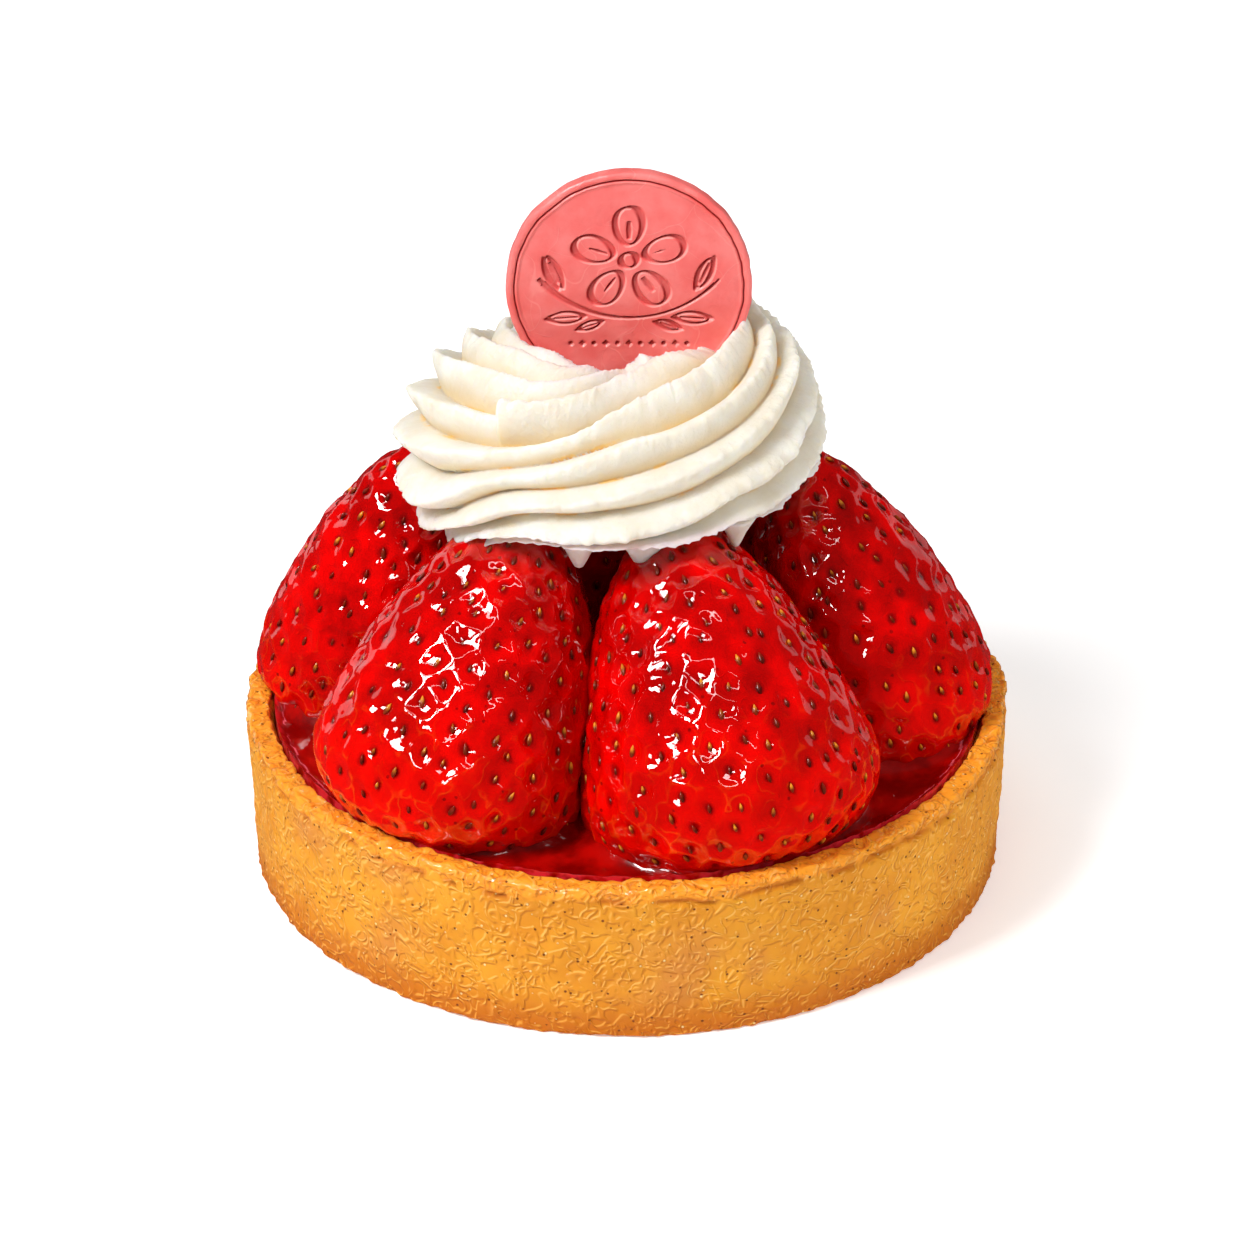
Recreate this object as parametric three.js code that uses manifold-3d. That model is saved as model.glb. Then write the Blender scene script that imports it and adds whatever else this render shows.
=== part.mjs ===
// Strawberry tart: a straight-sided pastry shell filled with strawberry jelly, six whole strawberries
// standing in a ring and leaning inwards, a rosette of whipped cream piped on to their tips, and a round
// chocolate medallion pushed into the cream.
// Millimetres, +Z up. The origin is the centre of the shell's flat underside, and -Y is the front.
import * as THREE from "three";
import { mergeVertices } from "three/addons/utils/BufferGeometryUtils.js";
import Module from "manifold-3d";

const wasm = await Module();
wasm.setup();

const { sin, cos, abs, PI, max, min, hypot, atan2 } = Math;
const radians = THREE.MathUtils.degToRad;
const smoothstep = THREE.MathUtils.smoothstep;
const mix = THREE.MathUtils.lerp;

// Driving dimensions
const clearance = 0.3; // gap kept between neighbouring pieces

const shell = {
  rimRadius: 42.5,
  footRadius: 41.9,
  height: 19,
  wall: 3.1,
  base: 3.5,
  draft: 0.3, // the wall is this much thicker at the base
  rimRound: 0.9,
  footRound: 0.6,
  segments: 60,
  unevenness: 0.16, // how far the baked rim strays from a true circle
};

const jelly = {
  level: 16.9,
  swell: 0.35, // it climbs the shell's wall
  meniscus: 1.2,
  segments: 48,
};

// One strawberry stands on its cut, calyx end. Its outline is two joined superellipses.
const berryForm = {
  shoulder: 0.25, // share of the length where it is widest
  footPower: 2.1,
  tipPower: 1.48,
  columns: 24,
  rows: 17,
  pitDepth: 0.45,
  pitFirstRow: 3,
  ovalness: 0.025, // shares of the radius
  threeSidedness: 0.018,
  cutterColumns: 18,
  cutterRows: 10,
};

// azimuth, lean and sway in degrees; stand is the distance of the foot's centre from the tart's axis
const berries = [
  { at: "front_right", azimuth: -65, stand: 32.6, foot: 12.6, lean: 30, sway: -2, length: 40.7, radius: 16.2 },
  { at: "front_left", azimuth: -130, stand: 33.2, foot: 12.8, lean: 29, sway: -2, length: 40.6, radius: 14.9 },
  { at: "right", azimuth: -4, stand: 30.7, foot: 9.9, lean: 18, sway: 4, length: 40.8, radius: 13.7 },
  { at: "left", azimuth: 167, stand: 29.6, foot: 9.3, lean: 11, sway: 5, length: 40.4, radius: 13.7 },
  { at: "back_right", azimuth: 55, stand: 30.8, foot: 9.9, lean: 16, sway: 0, length: 40.9, radius: 13.6 },
  { at: "back_left", azimuth: 111, stand: 30.9, foot: 9.9, lean: 16, sway: 1, length: 40.2, radius: 13.8 },
];

// The rosette is one strand from a star nozzle, laid once round the axis and ending on top of its own
// start. A station gives the strand's place and size at an azimuth: ring is its distance from the axis,
// slope lifts its inner side, under flattens its lower half, and flutes is how far the flutes have turned.
const cream = {
  centreX: -0.8,
  stations: [
    { azimuth: 125, ring: 12.2, height: 49.6, radius: 10, slope: 0, under: 0.8, flutes: -38 },
    { azimuth: 180, ring: 12.6, height: 49.8, radius: 12, slope: 0.05, under: 0.9, flutes: 5 },
    { azimuth: 225, ring: 12, height: 49.8, radius: 11.8, slope: 0.15, under: 0.62, flutes: 37 },
    { azimuth: 270, ring: 11.2, height: 50.2, radius: 11.2, slope: 0.22, under: 0.42, flutes: 60 },
    { azimuth: 315, ring: 11.2, height: 51.6, radius: 11, slope: 0.25, under: 0.5, flutes: 70 },
    { azimuth: 360, ring: 11.4, height: 53.4, radius: 10.9, slope: 0.15, under: 0.65, flutes: 84 },
    { azimuth: 405, ring: 11.6, height: 54, radius: 10.6, slope: 0.12, under: 0.85, flutes: 104 },
    { azimuth: 450, ring: 11.4, height: 53.6, radius: 10.2, slope: 0.12, under: 0.95, flutes: 130 },
    { azimuth: 520, ring: 9.4, height: 55.6, radius: 6.4, slope: 0.12, under: 0.9, flutes: 172 },
  ],
  teeth: 12,
  pointsPerTooth: 4,
  toothDepth: 0.26, // share of the strand's radius
  closing: 9, // degrees of azimuth in which the ends of the strand close
  closedShare: 0.6, // share of the radius that is left at the very end
  hole: 0.4, // radius round the axis that the strand doesn't cross
  sections: 15, // rings of vertices in each of the lengths that are joined
  lengths: 2,
  core: { radius: 8, height: 7, z: 49 },
  drips: [
    { azimuth: -106, distance: 15.4, length: 4.2, radius: 2.2 },
    { azimuth: -85, distance: 15.2, length: 4.4, radius: 2.4 },
    { azimuth: -50, distance: 18.2, length: 4, radius: 2.1 },
  ],
  dripTop: 46.8,
};

const medallion = {
  radius: 13.2,
  thickness: 1.9,
  border: 1,
  recess: 0.3,
  bevel: 0.45,
  centre: new THREE.Vector3(0.2, 2, 67.4),
  leanBack: 1,
  segments: 44,
};

// Lines and beads cut into the medallion's face. Places are from the middle of the face.
const engraving = {
  depth: 0.4,
  groove: 0.5,
  middle: { y: 2.4, radius: 1.2 },
  petals: { count: 5, distance: 3.8, length: 4, width: 2.8 },
  leaves: { x: 8, y: 1.8, length: 4.2, width: 2, tilt: 35 },
  beads: { count: 9, y: -4.8, pitch: 1.6, radius: 0.5 },
};

// Solids: booleans between closed meshes -------------------------------------------------

function solidFrom(geometry, matrix = new THREE.Matrix4()) {
  const bare = new THREE.BufferGeometry();
  bare.setAttribute("position", geometry.getAttribute("position").clone());
  if (geometry.index) bare.setIndex(geometry.index.clone());
  bare.applyMatrix4(matrix);
  const merged = mergeVertices(bare, 1e-4);
  return new wasm.Manifold(
    new wasm.Mesh({
      numProp: 3,
      vertProperties: merged.attributes.position.array,
      triVerts: new Uint32Array(merged.index.array),
    }),
  );
}

function geometryFrom(solid) {
  const { vertProperties, triVerts } = solid.getMesh();
  const geometry = new THREE.BufferGeometry();
  geometry.setAttribute("position", new THREE.BufferAttribute(vertProperties, 3));
  geometry.setIndex(new THREE.BufferAttribute(triVerts, 1));
  geometry.computeVertexNormals();
  return geometry;
}

// Moves every vertex of a geometry to where place(vertex) puts it.
function reshape(geometry, place) {
  const position = geometry.getAttribute("position");
  const vertex = new THREE.Vector3();
  for (let i = 0; i < position.count; i++) {
    place(vertex.fromBufferAttribute(position, i));
    position.setXYZ(i, vertex.x, vertex.y, vertex.z);
  }
  return geometry;
}

// A profile of [radius, height] pairs turned round +Z.
function turned(profile, segments) {
  const points = profile.map(([radius, height]) => new THREE.Vector2(radius, height));
  return new THREE.LatheGeometry(points, segments).rotateX(PI / 2);
}

// A quarter round of the given radius, as [radius, height] pairs from one angle to another.
function arc(centreRadius, centreHeight, radius, from, to, steps = 3) {
  const pairs = [];
  for (let i = 0; i <= steps; i++) {
    const angle = radians(mix(from, to, i / steps));
    pairs.push([centreRadius + radius * cos(angle), centreHeight + radius * sin(angle)]);
  }
  return pairs;
}

// Pastry shell ---------------------------------------------------------------------------

function shellProfile(grow = 0) {
  const { rimRadius, footRadius, height, wall, base, draft, rimRound, footRound } = shell;
  const inner = rimRadius - wall - grow;
  return [
    [0, -grow],
    ...arc(footRadius - footRound, footRound, footRound + grow, -90, 0, 2),
    ...arc(rimRadius - rimRound, height - rimRound, rimRound + grow, 0, 90),
    ...arc(inner + rimRound + grow, height - rimRound, rimRound + grow, 90, 180),
    [inner - draft, base + grow],
    [0, base + grow],
  ];
}

// Trimming and baking leave the rim a little wavy, in height and in width. The waves are even in number,
// so opposite sides swell alike and the axis stays in the middle.
function bakeRim(vertex) {
  const angle = atan2(vertex.y, vertex.x);
  const stray = shell.unevenness * smoothstep(vertex.z, shell.height / 2, shell.height);
  const outward = 0.5 * sin(4 * angle + 0.7) + 0.3 * sin(10 * angle + 2.1) + 0.35 * sin(18 * angle);
  const upward = 0.6 * sin(6 * angle + 1.3) + 0.4 * cos(16 * angle);
  const factor = 1 + (stray * outward) / shell.rimRadius;
  vertex.set(vertex.x * factor, vertex.y * factor, vertex.z + stray * upward);
}

function shellGeometry() {
  return reshape(turned(shellProfile(), shell.segments), bakeRim);
}

// Strawberries ---------------------------------------------------------------------------

// Share of the greatest radius at a share u of the length, from the foot to the tip.
function berryOutline(u) {
  const { shoulder, footPower, tipPower } = berryForm;
  if (u < shoulder) return (1 - (1 - u / shoulder) ** footPower) ** (1 / footPower);
  return (1 - ((u - shoulder) / (1 - shoulder)) ** tipPower) ** (1 / tipPower);
}

function berryProfile({ length, radius }, rows, grow = 0) {
  const profile = [];
  for (let row = 0; row <= rows; row++) {
    const u = (1 - cos((PI * row) / rows)) / 2;
    const onAxis = row % rows === 0;
    profile.push([onAxis ? 0 : berryOutline(u) * radius + grow, mix(-grow, length + grow, u)]);
  }
  return profile;
}

// No berry is quite round.
function berryLobes(angle, phase) {
  const { ovalness, threeSidedness } = berryForm;
  return 1 + ovalness * cos(2 * angle + phase) + threeSidedness * cos(3 * angle - 2 * phase);
}

function berryGeometry(berry) {
  const { columns, rows, pitDepth, pitFirstRow } = berryForm;
  const profile = berryProfile(berry, rows);
  const geometry = turned(profile, columns);
  const phase = radians(berry.azimuth);
  const position = geometry.getAttribute("position");
  for (let column = 0; column <= columns; column++) {
    for (let row = 0; row <= rows; row++) {
      // Each row is turned by half a column more than the last, so the vertices form a triangular net,
      // and every third vertex is the bottom of a seed's pit.
      const angle = (2 * PI * (column + row / 2)) / columns;
      const pit = row >= pitFirstRow && row < rows - 1 && (column - row + 3 * rows) % 3 === 0;
      const radius = profile[row][0] * berryLobes(angle, phase) - (pit ? pitDepth : 0);
      const vertex = column * (rows + 1) + row;
      position.setXY(vertex, radius * sin(angle), -radius * cos(angle));
    }
  }
  return geometry;
}

// The plain form, larger by the clearance, that a neighbour is cut with.
function berryCutter(berry) {
  const { cutterColumns, cutterRows } = berryForm;
  const profile = berryProfile(berry, cutterRows, clearance);
  const outside = 1 / cos(PI / cutterColumns); // brings the middle of each flat out to the true circle
  const phase = radians(berry.azimuth);
  return reshape(turned(profile, cutterColumns), (vertex) => {
    const scale = outside * berryLobes(atan2(vertex.x, -vertex.y), phase);
    vertex.x *= scale;
    vertex.y *= scale;
  });
}

// Stands a berry on its foot and leans it towards the axis.
function standBerry(mesh, { azimuth, stand, foot, lean, sway }) {
  const angle = radians(azimuth);
  mesh.position.set(stand * cos(angle), stand * sin(angle), foot);
  mesh.rotation.set(radians(-sway), radians(-lean), angle, "ZYX");
  mesh.updateMatrixWorld();
  return mesh;
}

// Whipped cream --------------------------------------------------------------------------

const stationAzimuths = cream.stations.map((station) => station.azimuth);
const stationValues = cream.stations.flatMap((station) => Object.values(station).slice(1));
const strand = new THREE.CubicInterpolant(stationAzimuths, stationValues, 6);

// Rounded teeth with sharp valleys between them.
function toothFactor(angle) {
  return 1 - cream.toothDepth * (1 - abs(cos((cream.teeth * angle) / 2)));
}

// A length of the strand between two azimuths: a closed rod, bent round the axis. The rod's own edges
// turn with the flutes, so each tooth is one clean line.
function strandLength(from, to) {
  const around = cream.teeth * cream.pointsPerTooth;
  const rod = new THREE.CylinderGeometry(1, 1, 1, around, cream.sections);
  return reshape(rod, (vertex) => {
    const azimuth = mix(from, to, vertex.y + 0.5);
    const [ring, height, radius, slope, under, flutes] = strand.evaluate(azimuth);
    const nearEnd = min(azimuth - stationAzimuths[0], stationAzimuths.at(-1) - azimuth);
    const closed = mix(cream.closedShare, 1, smoothstep(nearEnd, 0, cream.closing));
    const onRod = atan2(vertex.z, vertex.x);
    const angle = onRod + radians(flutes);
    const reach = hypot(vertex.x, vertex.z) * radius * closed * toothFactor(onRod);
    const outward = max(ring + reach * cos(angle), cream.hole);
    const up = reach * sin(angle) * (sin(angle) < 0 ? under : 1);
    vertex.set(
      cream.centreX + outward * cos(radians(azimuth)),
      outward * sin(radians(azimuth)),
      height + up - slope * reach * cos(angle),
    );
  });
}

function dripGeometry({ azimuth, distance, length, radius }) {
  const profile = [
    [0, -length],
    [radius * 0.35, -length * 0.85],
    [radius * 0.6, -length * 0.4],
    [radius, 0],
    [0, 0],
  ];
  const angle = radians(azimuth);
  return turned(profile, 10).translate(distance * cos(angle), distance * sin(angle), cream.dripTop);
}

function creamSolid() {
  const { core, lengths, centreX, drips } = cream;
  const middle = new THREE.SphereGeometry(1, 16, 8).scale(core.radius, core.radius, core.height);
  let solid = solidFrom(middle.translate(centreX, 0, core.z));
  const first = stationAzimuths[0];
  const last = stationAzimuths.at(-1);
  for (let i = 0; i < lengths; i++) {
    const from = mix(first, last, i / lengths);
    const to = mix(first, last, (i + 1) / lengths);
    solid = solid.add(solidFrom(strandLength(from, to)));
  }
  for (const drip of drips) solid = solid.add(solidFrom(dripGeometry(drip)));
  return solid;
}

// Chocolate medallion --------------------------------------------------------------------

// Lies flat, face up, centred on the origin.
function medallionProfile(grow = 0) {
  const { radius, thickness, border, recess, bevel } = medallion;
  const half = thickness / 2 + grow;
  const plain = [
    [0, -half],
    [radius + grow, -half],
    [radius + grow, half],
    [0, half],
  ];
  if (grow) return plain;
  return [
    [0, -half],
    [radius - bevel, -half],
    [radius, -half + bevel],
    [radius, half - bevel],
    [radius - bevel, half],
    [radius - border, half],
    [radius - border - recess, half - recess],
    [0, half - recess],
  ];
}

// An oval line of the engraving, standing up from the bottom of its groove.
function oval(length, width = length) {
  const { groove } = engraving;
  const shape = new THREE.Shape().absellipse(0, 0, length / 2, width / 2, 0, 2 * PI);
  const inside = new THREE.Path().absellipse(0, 0, length / 2 - groove, width / 2 - groove, 0, 2 * PI);
  shape.holes.push(inside);
  return new THREE.ExtrudeGeometry(shape, { depth: 2, bevelEnabled: false, curveSegments: 5 });
}

// A plain five-petalled blossom between two leaves, over a row of beads.
function engravings() {
  const { depth, middle, petals, leaves, beads } = engraving;
  const bottom = medallion.thickness / 2 - medallion.recess - depth;
  const cuts = [oval(2 * middle.radius).translate(0, middle.y, bottom)];
  for (let i = 0; i < petals.count; i++) {
    const petal = oval(petals.length, petals.width).translate(petals.distance, 0, bottom);
    cuts.push(petal.rotateZ(PI / 2 + (2 * PI * i) / petals.count).translate(0, middle.y, 0));
  }
  for (const side of [-1, 1]) {
    const leaf = oval(leaves.length, leaves.width).rotateZ(side * radians(leaves.tilt));
    cuts.push(leaf.translate(side * leaves.x, leaves.y, bottom));
  }
  for (let i = 0; i < beads.count; i++) {
    const bead = new THREE.CylinderGeometry(beads.radius, beads.radius, 2, 6).rotateX(PI / 2);
    cuts.push(bead.translate((i - (beads.count - 1) / 2) * beads.pitch, beads.y, bottom + 1));
  }
  return cuts;
}

function standMedallion(mesh) {
  mesh.position.copy(medallion.centre);
  mesh.rotation.set(radians(90 - medallion.leanBack), 0, 0);
  mesh.updateMatrixWorld();
  return mesh;
}

// Materials ------------------------------------------------------------------------------

const pastry = new THREE.MeshStandardMaterial({ color: 0xd9974f, roughness: 0.75, metalness: 0 });
const redJelly = new THREE.MeshStandardMaterial({ color: 0x8c0a12, roughness: 0.12, metalness: 0 });
const glazedFruit = new THREE.MeshStandardMaterial({ color: 0xc4120f, roughness: 0.15, metalness: 0 });
const whippedCream = new THREE.MeshStandardMaterial({ color: 0xf7efe0, roughness: 0.55, metalness: 0 });
const pinkChocolate = new THREE.MeshStandardMaterial({ color: 0xf07474, roughness: 0.35, metalness: 0 });

// Assembly -------------------------------------------------------------------------------

const tart = new THREE.Group();
tart.name = "strawberry_tart";

function addMesh(name, geometry, material) {
  const mesh = new THREE.Mesh(geometry, material);
  mesh.name = name;
  tart.add(mesh);
  return mesh;
}

// Cuts a placed mesh by solids that are given in the tart's frame.
function cutMesh(mesh, cutters) {
  let solid = solidFrom(mesh.geometry, mesh.matrixWorld);
  for (const cutter of cutters) solid = solid.subtract(cutter);
  const largest = solid.decompose().reduce((a, b) => (a.volume() > b.volume() ? a : b));
  mesh.geometry = geometryFrom(largest).applyMatrix4(mesh.matrixWorld.clone().invert());
}

addMesh("tart_shell", shellGeometry(), pastry);
const grownShell = solidFrom(turned(shellProfile(clearance), shell.segments));

const grownBerries = [];
for (const berry of berries) {
  const mesh = standBerry(addMesh(`strawberry_${berry.at}`, berryGeometry(berry), glazedFruit), berry);
  cutMesh(mesh, [grownShell, ...grownBerries]);
  grownBerries.push(solidFrom(berryCutter(berry), mesh.matrixWorld));
}

const jellyRadius = shell.rimRadius - shell.wall - clearance;
const jellyProfile = [
  [0, shell.base + clearance],
  [jellyRadius - shell.draft, shell.base + clearance],
  [jellyRadius, jelly.level + jelly.swell],
  [jellyRadius - jelly.meniscus, jelly.level],
  [jellyRadius / 2, jelly.level],
  [0, jelly.level],
];
const jellyFilling = addMesh("jelly_filling", turned(jellyProfile, jelly.segments), redJelly);
cutMesh(jellyFilling, grownBerries);

const discGeometry = turned(medallionProfile(), medallion.segments);
const disc = standMedallion(addMesh("chocolate_medallion", discGeometry, pinkChocolate));
disc.geometry = geometryFrom(
  engravings().reduce((solid, cut) => solid.subtract(solidFrom(cut)), solidFrom(discGeometry)),
);

const discCutter = solidFrom(turned(medallionProfile(clearance), medallion.segments), disc.matrixWorld);
const rosette = addMesh("whipped_cream", geometryFrom(creamSolid()), whippedCream);
cutMesh(rosette, [...grownBerries, discCutter]);

export default tart;
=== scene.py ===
# Strawberry tart: a baked pastry shell filled with strawberry jelly, six glazed strawberries that lean
# inwards, a piped rosette of whipped cream on their tips and a chocolate medallion pushed into the cream.
# Sizes and places are millimetres and angles are degrees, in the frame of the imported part: +Z up, -Y front.
import math
import random
from itertools import product

import bpy
from mathutils import Euler, Matrix, Vector, noise
from mathutils.kdtree import KDTree


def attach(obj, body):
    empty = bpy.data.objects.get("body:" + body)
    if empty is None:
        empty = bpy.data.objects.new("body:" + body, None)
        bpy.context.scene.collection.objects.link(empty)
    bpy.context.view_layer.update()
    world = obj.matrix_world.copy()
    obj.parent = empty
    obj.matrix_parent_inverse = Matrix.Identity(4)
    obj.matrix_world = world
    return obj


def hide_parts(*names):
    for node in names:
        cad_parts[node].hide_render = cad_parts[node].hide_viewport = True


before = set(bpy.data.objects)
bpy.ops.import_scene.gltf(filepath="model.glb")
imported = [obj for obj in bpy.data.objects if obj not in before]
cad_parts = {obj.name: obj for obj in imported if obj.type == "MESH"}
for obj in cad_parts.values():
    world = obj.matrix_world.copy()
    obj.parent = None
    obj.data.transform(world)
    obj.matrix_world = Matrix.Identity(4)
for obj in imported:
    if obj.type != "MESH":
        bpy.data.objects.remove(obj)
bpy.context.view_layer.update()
mm = 0.001  # Blender's metres
sameSpot = 0.002  # vertices closer than this are merged
random.seed(7)

# Working on a mesh


def selectNothing():
    if bpy.context.object and bpy.context.object.mode == "EDIT":
        bpy.ops.object.mode_set(mode="OBJECT")
    bpy.ops.object.select_all(action="DESELECT")


def selectPieces(*pieces):
    # Selects these alone and makes the first one active.
    selectNothing()
    for piece in pieces:
        piece.select_set(True)
    bpy.context.view_layer.objects.active = pieces[0]


def nameActive(name):
    piece = bpy.context.object
    piece.name = name
    piece.data.name = name
    return piece


def turnedPiece(name, outline, columns):
    # Extrudes a point along [radius, height] pairs and spins the line round the tart's axis.
    selectNothing()
    bpy.ops.mesh.primitive_plane_add(size=mm, location=(0, 0, 0))
    piece = nameActive(name)
    bpy.ops.object.mode_set(mode="EDIT")
    bpy.ops.mesh.merge(type="CENTER")
    bpy.ops.transform.translate(value=(outline[0][0] * mm, 0, outline[0][1] * mm))
    for (radius, height), (nextRadius, nextHeight) in zip(outline, outline[1:]):
        step = ((nextRadius - radius) * mm, 0, (nextHeight - height) * mm)
        bpy.ops.mesh.extrude_region_move(TRANSFORM_OT_translate={"value": step})
    bpy.ops.mesh.select_all(action="SELECT")
    bpy.ops.mesh.spin(steps=columns, angle=2 * math.pi, center=(0, 0, 0), axis=(0, 0, 1))
    closeSeams()
    return piece


def closeSeams():
    bpy.ops.mesh.select_all(action="SELECT")
    bpy.ops.mesh.remove_doubles(threshold=sameSpot * mm)
    bpy.ops.mesh.normals_make_consistent(inside=False)
    bpy.ops.object.mode_set(mode="OBJECT")


def moveVertices(piece, place):
    # place takes a point in millimetres and gives where it goes.
    for vertex in piece.data.vertices:
        vertex.co = place(vertex.co / mm) * mm


def applyModifiers(piece):
    selectPieces(piece)
    for modifier in list(piece.modifiers):
        bpy.ops.object.modifier_apply(modifier=modifier.name)


def smoothShading(piece, angle=None):
    # Edges sharper than the angle stay sharp.
    selectPieces(piece)
    if angle is None:
        bpy.ops.object.shade_smooth()
    else:
        bpy.ops.object.shade_smooth_by_angle(angle=math.radians(angle))


def relief(piece, name, kind, size, height, region, settings):
    # Displaces a region of the surface by one of Blender's procedural textures.
    texture = bpy.data.textures.new(name, kind)
    for setting, value in {"noise_scale": size * mm, **settings}.items():
        setattr(texture, setting, value)
    displace = piece.modifiers.new(name, "DISPLACE")
    displace.texture = texture
    displace.texture_coords = "LOCAL"
    displace.strength = height * mm  # from the lowest to the highest
    displace.mid_level = 0.5
    displace.vertex_group = region


def smoothstep(value, low, high):
    share = min(max((value - low) / (high - low), 0), 1)
    return share * share * (3 - 2 * share)


def mix(first, second, share):
    return first + (second - first) * share


def evenly(points, spacing):
    # Puts points along a line of [radius, height] pairs, no further apart than the spacing.
    line = [points[0]]
    for start, end in zip(points, points[1:]):
        parts = max(1, math.ceil(math.dist(start, end) / spacing))
        line += [tuple(mix(a, b, i / parts) for a, b in zip(start, end)) for i in range(1, parts + 1)]
    return line


def arc(centreRadius, centreHeight, radius, start, end, steps):
    angles = [math.radians(mix(start, end, i / steps)) for i in range(steps + 1)]
    return [(centreRadius + radius * math.cos(a), centreHeight + radius * math.sin(a)) for a in angles]


def polar(distance, azimuth, height):
    return Vector((distance * math.cos(azimuth), distance * math.sin(azimuth), height))


def setAttributes(piece, **values):
    for name, numbers in values.items():
        piece.data.attributes.new(name, "FLOAT", "POINT").data.foreach_set("value", numbers)


# Working on a material


def addNode(tree, kind, inputs=None, **settings):
    # An input is a value, or the output of another node that is linked to it.
    made = tree.nodes.new("ShaderNode" + kind)
    for setting, value in settings.items():
        setattr(made, setting, value)
    for name, value in (inputs or {}).items():
        if isinstance(value, bpy.types.NodeSocket):
            tree.links.new(value, made.inputs[name])
        else:
            made.inputs[name].default_value = value
    return made


def newMaterial(name, finish):
    material = bpy.data.materials.new(name)
    material.use_nodes = True
    tree = material.node_tree
    shader = tree.nodes["Principled BSDF"]
    for socket, value in finish.items():
        shader.inputs[socket].default_value = value
    coordinates = addNode(tree, "TexCoord")
    place = addNode(tree, "Mapping", {"Vector": coordinates.outputs["Object"], "Scale": (1 / mm,) * 3})
    return material, tree, shader, place.outputs["Vector"]


def blendColours(tree, mask, first, second, mode="MIX"):
    # A colour is red, green and blue, or the output of another node.
    first, second = (c if isinstance(c, bpy.types.NodeSocket) else (*c, 1) for c in (first, second))
    return addNode(tree, "Mix", {0: mask, 6: first, 7: second}, data_type="RGBA", blend_type=mode).outputs[2]


def paint(tree, shader, colours, first, *layers):
    # Lays named colours over the first one, each where its mask is 1.
    colour = colours[first]
    for mask, name, *mode in layers:
        colour = blendColours(tree, mask, colour, colours[name], *mode)
    tree.links.new(colour, shader.inputs["Base Color"])


def calculate(tree, operation, first, second=0.0):
    return addNode(tree, "Math", {0: first, 1: second}, operation=operation).outputs[0]


def times(tree, first, second):
    return calculate(tree, "MULTIPLY", first, second)


def scaleRange(tree, value, low, high, newLow=0.0, newHigh=1.0):
    inputs = {"Value": value, "From Min": low, "From Max": high, "To Min": newLow, "To Max": newHigh}
    return addNode(tree, "MapRange", inputs, interpolation_type="SMOOTHSTEP").outputs["Result"]


def pointValue(tree, name):
    return addNode(tree, "Attribute", attribute_name=name, attribute_type="GEOMETRY").outputs["Fac"]


def bump(tree, shader, height, distance):
    made = addNode(tree, "Bump", {"Height": height, "Distance": distance * mm})
    tree.links.new(made.outputs["Normal"], shader.inputs["Normal"])


def newGroup(name, output, **values):
    # A group that takes a place and these numbers, and gives one value.
    group = bpy.data.node_groups.new(name, "ShaderNodeTree")
    addSocket = group.interface.new_socket
    addSocket(name="Vector", in_out="INPUT", socket_type="NodeSocketVector")
    for socket, value in values.items():
        number = addSocket(name=socket.capitalize(), in_out="INPUT", socket_type="NodeSocketFloat")
        number.default_value = value
    addSocket(name=output, in_out="OUTPUT", socket_type="NodeSocketFloat")
    return group, group.nodes.new("NodeGroupInput").outputs, group.nodes.new("NodeGroupOutput").inputs[output]


def mottleGroup():
    # Soft cloudy patches, from 0 to 1.
    group, given, result = newGroup("mottle", "Mask", size=5, detail=4, low=0.35, high=0.65)
    scale = calculate(group, "DIVIDE", 1.0, given["Size"])
    cloud = addNode(group, "TexNoise", {"Vector": given["Vector"], "Scale": scale, "Detail": given["Detail"]})
    group.links.new(scaleRange(group, cloud.outputs["Fac"], given["Low"], given["High"]), result)
    return group


def speckGroup():
    # Round specks in some of the cells of a net, from 0 to 1.
    group, given, result = newGroup("specks", "Mask", spacing=1, radius=0.1, share=0.5)
    scale = calculate(group, "DIVIDE", 1.0, given["Spacing"])
    cells = addNode(group, "TexVoronoi", {"Vector": given["Vector"], "Scale": scale}).outputs
    far = calculate(group, "DIVIDE", times(group, cells["Distance"], given["Spacing"]), given["Radius"])
    chance = addNode(group, "SeparateColor", {"Color": cells["Color"]}).outputs["Red"]
    chosen = calculate(group, "LESS_THAN", chance, given["Share"])
    group.links.new(times(group, scaleRange(group, far, 1.0, 0.5), chosen), result)
    return group


def threadGroup():
    # Short winding threads, from 0 beside them to 1 on top.
    group, given, result = newGroup("threads", "Height", size=2, width=0.03, warp=1)
    scale = calculate(group, "DIVIDE", 1.0, given["Size"])
    cloud = addNode(group, "TexNoise", {"Vector": given["Vector"], "Scale": scale, "Detail": 1.0,
                                        "Distortion": given["Warp"]})
    channels = list(addNode(group, "SeparateColor", {"Color": cloud.outputs["Color"]}).outputs)
    height = 0.0
    for channel, other in zip(channels, channels[1:] + channels[:1]):
        apart = calculate(group, "ABSOLUTE", calculate(group, "SUBTRACT", channel, 0.5))
        off = calculate(group, "DIVIDE", apart, given["Width"])
        stroke = times(group, scaleRange(group, off, 1.0, 0.1), scaleRange(group, other, 0.45, 0.52))
        height = calculate(group, "MAXIMUM", stroke, height)
    group.links.new(height, result)
    return group


mottle = mottleGroup()
specks = speckGroup()
threads = threadGroup()


def pattern(tree, group, place, **values):
    inputs = {"Vector": place, **{name.capitalize(): value for name, value in values.items()}}
    return addNode(tree, "Group", inputs, node_tree=group).outputs[0]


def patches(tree, place, size, detail, low, high):
    return pattern(tree, mottle, place, size=size, detail=detail, low=low, high=high)


# Camera, floor and lights

view = {
    "distance": 500,
    "elevation": 28.9,
    "aim": 26.6,  # height above the floor
    "focalLength": 129.1,
    "sensor": 36,
    "nearest": 10,  # the camera sees nothing closer than this
}

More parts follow.
